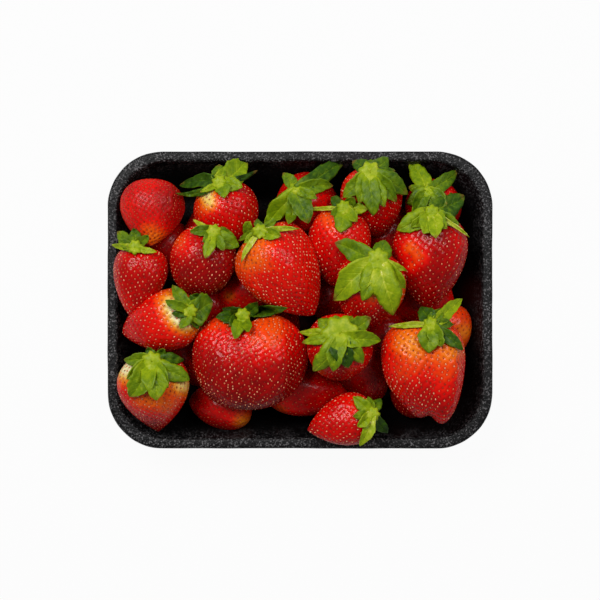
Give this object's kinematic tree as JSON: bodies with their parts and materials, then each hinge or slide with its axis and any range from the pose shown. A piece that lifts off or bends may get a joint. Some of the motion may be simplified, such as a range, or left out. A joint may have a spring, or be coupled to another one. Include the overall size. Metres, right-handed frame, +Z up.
{
  "type": "punnet of strawberries",
  "caption": "Shallow black foam tray with rounded corners and a rolled rim, heaped with whole red strawberries that stand above the rim.",
  "frame": {"origin": "centre of the tray's underside, on the surface it stands on", "axes": "+X along the tray's longer side, +Y across it, +Z up out of the tray"},
  "size_m": [0.18, 0.139, 0.0595],
  "materials": {
    "tray_foam": "black expanded foam with a speckled rim",
    "berry_skin": "moist red fruit skin",
    "berry_seed": "small yellow to brown seeds",
    "berry_leaf": "thin green leaf"
  },
  "bodies": {
    "root": {"tray": "tray_foam", "berries": "berry_skin"}
  },
  "joints": []
}
